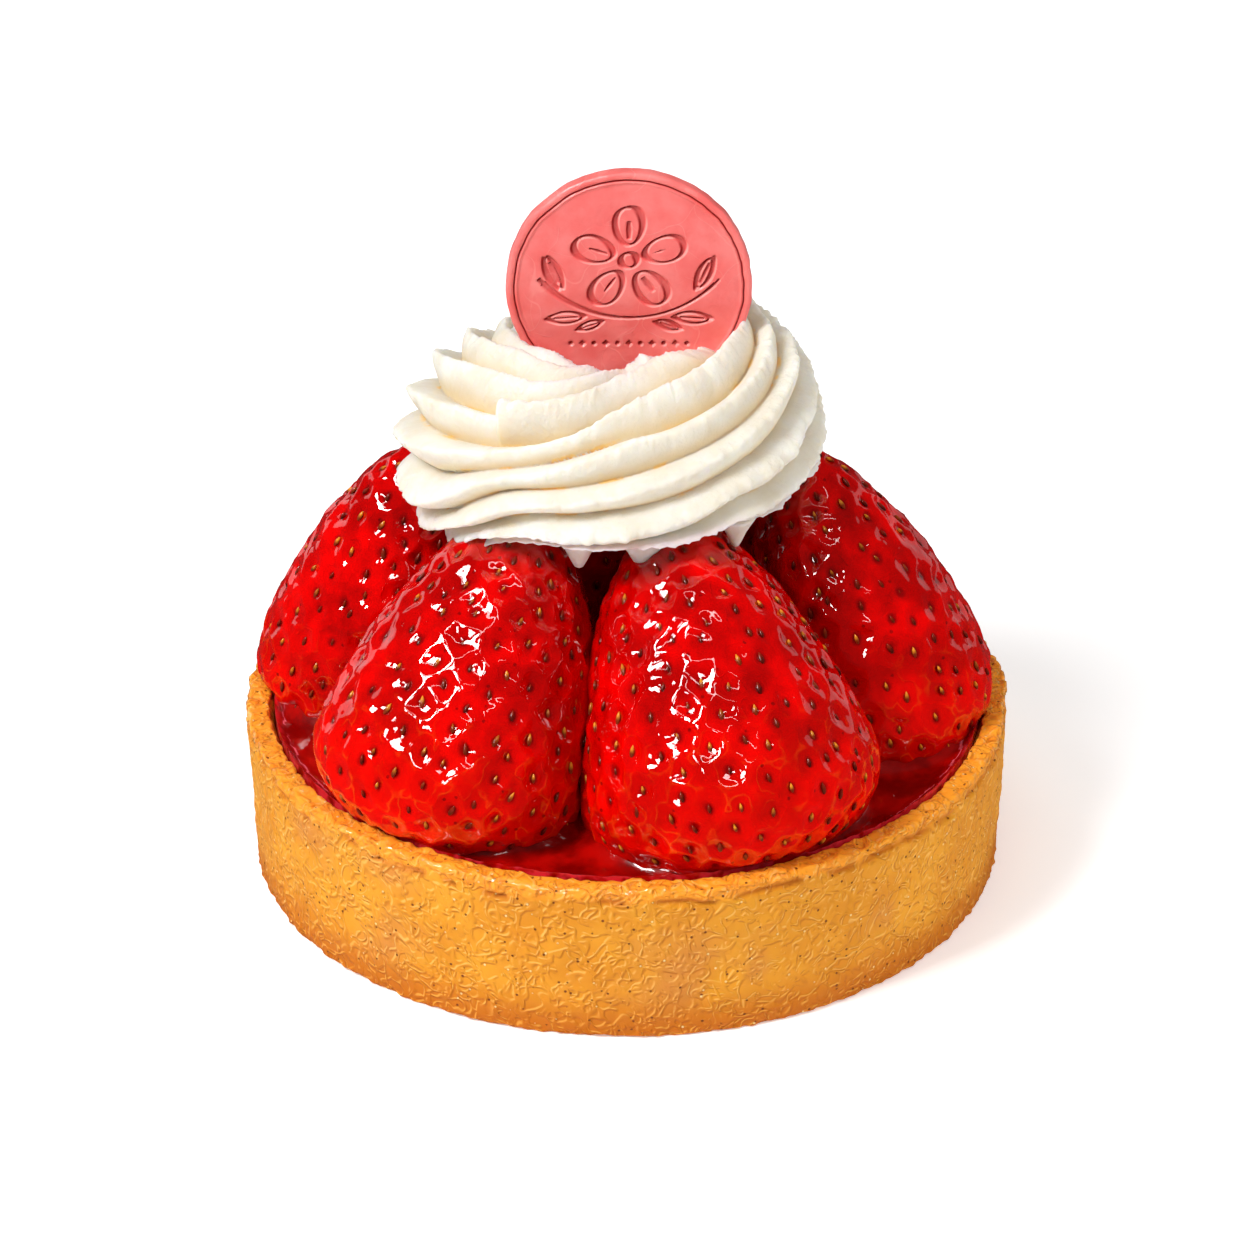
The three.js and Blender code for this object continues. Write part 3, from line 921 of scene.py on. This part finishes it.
def jellyMaterial():
    material, tree, shader, place = newMaterial("strawberryJelly", {
        "Roughness": 0.25, "Specular IOR Level": 0.1, "Coat Weight": 0.7, "Coat Roughness": 0.01,
        "Coat IOR": 1.6, "Subsurface Weight": 0.4, "Subsurface Radius": (1.0, 0.08, 0.05),
        "Subsurface Scale": 3 * mm})
    thin = pointValue(tree, "thin")
    some = patches(tree, place, 1.6, 2, 0.35, 0.6)
    # a painted highlight: a wavy pink line gleams along the edge
    wavy = calculate(tree, "ADD", thin, times(tree, some, 0.12))
    line = times(tree, scaleRange(tree, wavy, 0.3, 0.35), scaleRange(tree, wavy, 0.42, 0.36))
    paint(tree, shader, jelly["colours"], "deep",
          (patches(tree, place, 4, 3, 0.35, 0.65), "red"),
          # painted reflection: a pink sheen on the jelly near the shell's wall
          (times(tree, scaleRange(tree, thin, 0.35, 0.9), some), "paintedWallSheen"),
          (times(tree, line, patches(tree, place, 4, 2, 0.42, 0.55)), "gleam"))
    bump(tree, shader, patches(tree, place, 2.5, 1, 0.2, 0.8), 0.06)
    return material


makeJelly()
print("jelly is poured")

# Whipped cream

cream = {
    "centreX": -0.8,
    # azimuth: ring, height, radius, slope, under, depth of the grooves as a share of the radius
    "stations": {
        96: (11.4, 50.6, 7.5, 0, 0.8, 0.22),
        125: (12.2, 49.6, 10, 0, 0.8, 0.22),
        180: (12.6, 49.8, 12, 0.05, 0.9, 0.26),
        225: (12, 49.8, 11.8, 0.15, 0.5, 0.24),
        270: (11.2, 50.2, 11.2, 0.22, 0.14, 0.21),
        315: (11.2, 51.6, 11, 0.25, 0.26, 0.21),
        360: (11.4, 53.4, 10.9, 0.15, 0.65, 0.22),
        405: (11.6, 54, 10.6, 0.12, 0.85, 0.22),
        450: (11.4, 53.6, 10.2, 0.12, 0.95, 0.22),
        520: (9.4, 55.6, 6.4, 0.12, 0.9, 0.22),
    },
    # azimuth: where eight of the grooves run round the strand; the rest lie evenly from the last to the first
    "grooves": {
        96: (-134, -112, -90, -69, -48, -28, -8, 16),
        125: (-110, -88, -66, -45, -24, -4, 16, 40),
        160: (-80, -58, -36, -12, 8, 28, 50, 72),
        200: (-62, -40, -19, 14, 33, 56, 82, 106),
        230: (-25, -3, 18, 34, 48, 72, 95, 120),
        250: (-12, 10, 30, 48, 60, 90, 114, 138),
        270: (-4, 19, 39, 62, 81, 111, 135, 158),
        290: (1, 24, 46, 65, 92, 120, 142, 162),
        315: (8, 32, 50, 68, 95, 119, 142, 164),
        340: (10, 36, 51, 69, 92, 115, 138, 160),
        380: (20, 40, 54, 70, 88, 110, 134, 158),
        430: (38, 58, 74, 92, 112, 134, 156, 178),
        520: (84, 104, 122, 140, 160, 182, 204, 226),
    },
    "evenGrooves": 8,
    "outside": 14,  # radius by which the noise is measured along the strand
    "crest": 1.5,  # 1 is a sharp crest
    "usualRidge": 21,  # degrees; a wider ridge stands out further
    "upperShade": 0.45,
    "crestPlace": (0.42, 0.74),  # share of a ridge's width below its crest, outside and on top of the strand
    "unevenness": (0.35, 0.25),  # of the ridges and of the whole strand
    "serration": {0.8: 0.2, 1.9: 0.26, 3.4: 0.18},  # how often and how high
    # azimuth: how far the lower edge is lifted
    "rimLift": {96: (0,), 190: (-0.4,), 207: (-1.0,), 225: (-0.1,), 240: (1.2,), 248: (1.2,), 257: (0.8,),
                272: (0.5,), 291: (0.4,), 306: (0.9,), 318: (0.1,), 340: (0,), 520: (0,)},
    "blunt": (4, 226, 2.0, 16),  # a ridge that begins anew: its number, azimuth, step and length
    "closing": 9,
    "hole": 0.4,
    "around": 216,
    "lengths": 424,
    "crowding": (0.4, 0.6),  # the mesh is finer outside than in the hidden middle: how much, and where
    "core": (8, 7, 49),  # radius, height, place
    # the cream stays low before the medallion: [x, height] along its lip
    "lip": [(-12, 60.5), (-10.5, 59.9), (-5.3, 58), (0.2, 58.1), (5.7, 58.8), (9.9, 60), (11.5, 61.4),
            (13, 64)],
    "lipSlope": 0.552,
    # azimuth, distance from the axis, height, length, radius
    "drips": [(-106.4, 18, 47.2, 3.9, 2.5), (-84.5, 17.5, 47.2, 3.9, 2.9), (-51.6, 18.6, 47.6, 3.2, 1.9)],
    # shares of a drip's radius and length, from its tip up
    "dripShape": [(0, -1), (0.2, -0.93), (0.35, -0.75), (0.6, -0.4), (1, 0), (1.2, 0.2), (0, 0.4)],
    "colours": {
        "ivory": (0.72, 0.665, 0.565),
        "white": (0.78, 0.755, 0.69),
        "shade": (0.76, 0.59, 0.33),
        # painted shade: a warm yellow deep in some grooves
        "deep": (0.90, 0.55, 0.08),
    },
}


def between(table, place):
    # Smooth curve through the rows of a table, at a place between its keys; it starts and ends level.
    places, rows = list(table), list(table.values())
    i = max(j for j in range(len(places) - 1) if places[j] <= place)
    width = places[i + 1] - places[i]
    p = (place - places[i]) / width

    def slopes(j):
        if 0 <= j < len(places) - 1:
            return [(b - a) / (places[j + 1] - places[j]) for a, b in zip(rows[j], rows[j + 1])]
        return [-slope for slope in slopes(i)]

    curve = []
    for start, end, before, here, after in zip(rows[i], rows[i + 1], slopes(i - 1), slopes(i), slopes(i + 1)):
        bend = (1 - p) * (before + here) - p * (here + after)
        curve.append(mix(start, end, smoothstep(p, 0, 1)) + p * (1 - p) * bend * width / 2)
    return curve


def grooveAngles(azimuth):
    # All grooves round the strand, from the first to the first again.
    angles = between(cream["grooves"], azimuth)
    last = angles[-1]
    gap = (angles[0] + 360 - last) / (cream["evenGrooves"] + 1)
    return angles + [last + gap * i for i in range(1, cream["evenGrooves"] + 2)]


def ridgeAt(angles, angle):
    # The ridge at an angle of the strand: its number and width, its shape from 0 in a groove to 1 on the
    # crest, and how shaded it is.
    angle = angles[0] + (angle - angles[0]) % 360
    number = max(i for i in range(len(angles) - 1) if angles[i] <= angle)
    width = angles[number + 1] - angles[number]
    share = (angle - angles[number]) / width
    middle = mix(*cream["crestPlace"], smoothstep(angles[number] + width / 2, 5, 75))
    side = 1 - share / middle if share < middle else (share - middle) / (1 - middle)
    depth = side ** cream["crest"]
    return number, width, 1 - depth, depth * (1 if share < middle else cream["upperShade"])


def onStrand(strand, azimuth, angle, reach):
    ring, height, radius, slope, under = strand[:5]
    side, up = reach * math.cos(angle), reach * math.sin(angle)
    up *= under if up < 0 else 1
    outward = max(ring + side, cream["hole"])
    point = polar(outward, math.radians(azimuth), height + up - slope * side)
    return point + Vector((cream["centreX"], 0, 0))


def pushedDown(point):
    # How far the strand is pushed down to stay low before the medallion.
    lip = cream["lip"]
    if not lip[0][0] < point.x < lip[-1][0]:
        return 0
    for (x, height), (nextX, nextHeight) in zip(lip, lip[1:]):
        if x <= point.x <= nextX:
            top = mix(height, nextHeight, (point.x - x) / (nextX - x))
    top += cream["lipSlope"] * (1 - point.y)
    ends = smoothstep(point.x, lip[0][0], lip[1][0]) * (1 - smoothstep(point.x, lip[-2][0], lip[-1][0]))
    return max(point.z - top, 0) * ends * (1 - smoothstep(point.y, 1, 3))


def creamPoint(strand, angles, lift, azimuth, onRod):
    # point, depth in the groove and shade
    number, width, shape, shade = ridgeAt(angles, math.degrees(onRod))
    radius = strand[2]
    along = math.radians(azimuth) * cream["outside"]
    x, y = math.cos(onRod), math.sin(onRod)
    ridges, whole = cream["unevenness"]
    reach = radius * (1 - strand[5] * min(width / cream["usualRidge"], 1.3) * (1 - shape))
    reach += ridges * shape * noise.noise(Vector((along * 0.25, 7.3 * number, 0)))
    crest = smoothstep(shape, 0.45, 1) * mix(0.4, 1.4, smoothstep(x, -0.3, 0.6))
    for often, high in cream["serration"].items():
        reach += high * crest * noise.noise(Vector((along * often, 5 * x, 5 * y)))
    reach += whole * noise.noise(Vector((along * 0.3, 4 * x, 4 * y)))
    bluntRidge, bluntPlace, step, length = cream["blunt"]
    if number == bluntRidge:
        past = azimuth - bluntPlace
        reach += step * shape ** 0.5 * max(-0.6, min(1, past * 2)) * math.exp(-abs(past) / length)
    fromEnd = min(azimuth - min(cream["stations"]), max(cream["stations"]) - azimuth)
    reach *= math.sqrt(1 - (1 - min(fromEnd / cream["closing"], 1)) ** 2)
    point = onStrand(strand, azimuth, onRod, reach)
    point.z -= pushedDown(onStrand(strand, azimuth, onRod, 0.93 * radius))
    point.z += lift * smoothstep(x, 0.1, 0.8) * (1 - smoothstep(y, 0.1, 0.7))
    return point, 1 - shape, shade


def pipeStrand():
    # Wraps a flat grid round the strand, one row of it for each place along.
    first, last = min(cream["stations"]), max(cream["stations"])
    finer, middle = cream["crowding"]
    selectNothing()
    bpy.ops.mesh.primitive_grid_add(x_subdivisions=cream["around"], y_subdivisions=cream["lengths"],
                                    size=2 * mm, location=(0, 0, 0))
    strand = nameActive("creamRosette")
    rows = {}
    grooves, shades = [], []
    for vertex in strand.data.vertices:
        row = round((vertex.co.y / mm + 1) * cream["lengths"] / 2)
        azimuth = min(max(mix(first, last, row / cream["lengths"]), first), last)
        if row not in rows:
            rows[row] = (between(cream["stations"], azimuth), grooveAngles(azimuth),
                         between(cream["rimLift"], azimuth)[0])
        turn = (vertex.co.x / mm + 1) * math.pi
        onRod = turn - finer * math.sin(turn - middle)
        point, groove, shade = creamPoint(*rows[row], azimuth, onRod)
        vertex.co = point * mm
        grooves.append(groove)
        shades.append(shade)
    setAttributes(strand, groove=grooves, shade=shades)
    bpy.ops.object.mode_set(mode="EDIT")
    closeSeams()
    return strand


def makeCream():
    rosette = pipeStrand()
    parts = [rosette]
    coreRadius, coreHeight, coreZ = cream["core"]
    selectNothing()
    bpy.ops.mesh.primitive_uv_sphere_add(segments=48, ring_count=24, radius=mm,
                                         location=(cream["centreX"] * mm, 0, coreZ * mm))
    core = nameActive("creamCore")
    core.scale = (coreRadius, coreRadius, coreHeight)
    parts.append(core)
    for azimuth, distance, height, length, radius in cream["drips"]:
        drip = turnedPiece("creamDrip", [(radius * x, length * y) for x, y in cream["dripShape"]], 28)
        drip.location = polar(distance, math.radians(azimuth), height) * mm
        parts.append(drip)
    selectPieces(*parts)
    bpy.ops.object.join()
    smoothShading(rosette)
    rosette.data.materials.append(creamMaterial())
    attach(rosette, "root")
    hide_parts("whipped_cream")


def creamMaterial():
    material, tree, shader, place = newMaterial("whippedCream", {
        "Roughness": 0.5, "Specular IOR Level": 0.35, "Subsurface Weight": 0.75,
        "Subsurface Radius": (1.0, 0.84, 0.55), "Subsurface Scale": 2.5 * mm})
    grooves = scaleRange(tree, pointValue(tree, "groove"), 0.78, 0.95, 0.0, 0.7)
    paint(tree, shader, cream["colours"], "ivory",
          (patches(tree, place, 4, 4, 0.3, 0.7), "white"),
          (scaleRange(tree, pointValue(tree, "shade"), 0.15, 0.9, 0.0, 0.85), "shade"),
          # painted shade: a warm yellow deep in some grooves
          (times(tree, patches(tree, place, 3, 3, 0.5, 0.6), grooves), "deep"))
    bump(tree, shader, patches(tree, place, 0.7, 3, 0.3, 0.7), 0.05)
    return material


makeCream()
print("cream is piped")

# Chocolate medallion

medallion = {
    "radius": 13.2,
    "thickness": 1.9,
    "recess": 0.3,
    "bevel": 0.4,
    # the raised line inside the edge: [distance from the edge, height above the face]
    "border": [(1.36, 0), (1.26, 0.1), (1.14, 0.16), (1.02, 0.1), (0.92, -0.08), (0.84, -0.08), (0.76, 0.1),
               (0.64, 0.24), (0.5, 0.28)],
    "centre": (0.2, 2, 67.4),
    "leanBack": 1,
    "columns": 480,
    "grain": 0.12,
    "wobble": 0.1,  # the edge is cut by hand
    "shadedLine": (0.8, 0.95),  # distance from the edge
    "unevenFace": [(0.05, 3), (0.035, 0.9)],  # height and length; the shorter waves are only near the edge
    "colours": {
        "coral": (0.86, 0.135, 0.125),
        "pink": (0.92, 0.215, 0.20),
        "scratch": (0.97, 0.42, 0.38),
        # painted shade: the cuts are painted darker by their depth
        "cut": (0.60, 0.02, 0.022),
        # painted shade on the walls of the cuts that face away from the light
        "shade": (0.34, 0.001, 0.002),
        # painted highlight on the walls of the cuts that face the light
        "light": (1.0, 0.42, 0.38),
    },
}

engraving = {
    "depth": 0.4,
    "pen": (0.3, 1.05, 20),  # width of the thin and of the thick strokes, and where they are thick
    "inset": 0.3,  # the middle of an outline's stroke lies this far inside
    "middle": (3.1, 1.15),  # height, radius
    "petals": (5, 3.95, 4.9, 3.5),  # count, distance, length, width
    "stem": (9, 12.6, 50),  # height of the centre, radius, and how far it reaches from straight down
    # x, y, length, width, tilt
    "leaves": [(6.8, -3.6, 4.4, 1.9, -4), (8.1, 1.6, 4.4, 1.9, 66), (4.2, -4.5, 3.2, 1.5, -20)],
    "beads": (11, -6.6, 1.25, 0.5),  # count, y, pitch, radius
    "litFrom": (-0.13, 0.13),  # walls of the cuts that face away from there are painted in shade, and those that face it are painted lit
}


def turnedBack(x, y, angle):
    return x * math.cos(angle) + y * math.sin(angle), y * math.cos(angle) - x * math.sin(angle)


def penCut(distance, across):
    # How deep the pen cuts, from 0 to 1; across is the direction of the distance.
    thin, thick, nib = engraving["pen"]
    width = mix(thin, thick, math.cos(across - math.radians(nib)) ** 2)
    return 1 - smoothstep(distance / width, 0.2, 0.5)


def ovalCut(x, y, length, width, turn=0):
    a, b = length / 2 - engraving["inset"], width / 2 - engraving["inset"]
    reach = math.hypot(x / a, y / b)
    slope = math.hypot(x / a ** 2, y / b ** 2)
    if slope < 1e-6:
        return 0
    return penCut(abs(reach - 1) * reach / slope, math.atan2(y / b ** 2, x / a ** 2) + turn)


def cutAt(x, y):
    # How deep the engraving is, from 0 to 1.
    middleY, middleRadius = engraving["middle"]
    cuts = [ovalCut(x, y - middleY, 2 * middleRadius, 2 * middleRadius)]
    count, distance, length, width = engraving["petals"]
    for i in range(count):
        turn = math.pi / 2 + 2 * math.pi * i / count
        px, py = turnedBack(x, y - middleY, turn)
        px -= distance
        if abs(px) < length and abs(py) < width:
            cuts.append(ovalCut(px, py / (1 + 0.3 * px / length), length, width, turn))
            if abs(px + 0.5) < 1:
                cuts.append(0.8 * penCut(abs(py) + 0.05 + 0.1 * abs(px + 0.5), turn + math.pi / 2))
    for (leafX, leafY, length, width, tilt), side in product(engraving["leaves"], (-1, 1)):
        turn = side * math.radians(tilt)
        lx, ly = turnedBack(x - side * leafX, y - leafY, turn)
        if abs(lx) < length and abs(ly) < width:
            cuts.append(ovalCut(lx, ly * (1 + (1.3 * lx / length) ** 2), length, width, turn))
            if abs(lx) < length * 0.3:
                cuts.append(0.7 * penCut(abs(ly) + 0.06, turn + math.pi / 2))
    stemY, radius, end = engraving["stem"]
    down = abs(math.degrees(math.atan2(x, stemY - y)))
    if down < end:
        thinner = 0.1 if down > end - 3 else 0
        cuts.append(penCut(abs(math.hypot(x, y - stemY) - radius) + thinner, math.atan2(y - stemY, x)))
    count, beadY, pitch, size = engraving["beads"]
    i = max(0, min(count - 1, round(x / pitch + (count - 1) / 2)))
    beadX = abs(x - (i - (count - 1) / 2) * pitch)
    bead = beadX + abs(y - beadY) if i % 2 else 1.5 * math.hypot(beadX, y - beadY)
    return max(*cuts, 1 - smoothstep(bead / size, 0.35, 1))


def medallionOutline():
    m = medallion
    half = m["thickness"] / 2
    face = half - m["recess"]
    borderFrom, *border = m["border"]
    shoulder = m["radius"] - m["bevel"]
    outline = evenly([(0, face), (m["radius"] - borderFrom[0], face)], m["grain"])
    outline += [(m["radius"] - inwards, face + height) for inwards, height in border]
    outline += arc(shoulder, half - m["bevel"], m["bevel"], 90, 0, 6)
    outline += arc(shoulder, m["bevel"] - half, m["bevel"], 0, -90, 5)
    return outline + evenly([(shoulder, -half), (0, -half)], 3)[1:]


def makeMedallion():
    m = medallion
    face = m["thickness"] / 2 - m["recess"]
    disc = turnedPiece("chocolateMedallion", medallionOutline(), m["columns"])
    cuts, walls = [], []

    def carve(point):
        radius = math.hypot(point.x, point.y)
        outward = polar(1, math.atan2(point.y, point.x), 0)
        stray = noise.noise(outward * 4) + 0.6 * noise.noise(outward * 11)
        wider = 1 + m["wobble"] * stray * smoothstep(radius, 10, 12.5) / m["radius"]
        inwards = m["radius"] - radius
        low, cut, wall = point.z, 0, 0
        if point.z > 0:
            (high, long), (edgeHigh, edgeLong) = m["unevenFace"]
            low += high * noise.noise(Vector((point.x / long, point.y / long, 2)))
            short = noise.noise(Vector((point.x / edgeLong, point.y / edgeLong, 7)))
            low += edgeHigh * short * smoothstep(radius, 11, 12)
            # painted shade in the groove of the raised border line
            if m["shadedLine"][0] < inwards < m["shadedLine"][1]:
                wall = 0.5
        if point.z > face - 0.01 and inwards > m["border"][0][0] - 0.01:
            cut = cutAt(point.x, point.y)
            # how far the wall faces away from the light, for painted shade and painted highlight
            wall = cut - cutAt(point.x + engraving["litFrom"][0], point.y + engraving["litFrom"][1])
            low -= engraving["depth"] * cut
        cuts.append(cut)
        walls.append(wall)
        return Vector((point.x * wider, point.y * wider, low))

    moveVertices(disc, carve)
    setAttributes(disc, cut=cuts, wall=walls)
    disc.rotation_euler = (math.radians(90 - m["leanBack"]), 0, 0)
    disc.location = Vector(m["centre"]) * mm
    selectPieces(disc)
    bpy.ops.object.transform_apply(location=True, rotation=True, scale=True)
    smoothShading(disc, 50)
    disc.data.materials.append(chocolateMaterial())
    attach(disc, "root")
    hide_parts("chocolate_medallion")


def chocolateMaterial():
    material, tree, shader, place = newMaterial("pinkChocolate", {
        "Roughness": 0.33, "Specular IOR Level": 0.5, "Coat Weight": 0.2, "Coat Roughness": 0.2,
        "Subsurface Weight": 0.15, "Subsurface Radius": (1.0, 0.35, 0.3), "Subsurface Scale": 0.7 * mm})
    scratches = pattern(tree, threads, place, size=7, width=0.008, warp=0.2)
    wall = pointValue(tree, "wall")
    paint(tree, shader, medallion["colours"], "coral",
          (patches(tree, place, 4, 4, 0.3, 0.7), "pink"),
          (scaleRange(tree, scratches, 0.2, 1.2, 0.0, 0.2), "scratch"),
          # painted shade: the cuts are painted darker by their depth
          (times(tree, pointValue(tree, "cut"), 0.5), "cut"),
          # painted shade and painted highlight on the walls of the cuts
          (scaleRange(tree, wall, 0.04, 0.5), "shade"),
          (scaleRange(tree, wall, -0.1, -0.6, 0.0, 0.6), "light"))
    grain = patches(tree, place, 1.6, 3, 0.3, 0.7)
    bump(tree, shader, calculate(tree, "ADD", grain, times(tree, scratches, 0.3)), 0.05)
    return material


makeMedallion()
print("medallion is set")
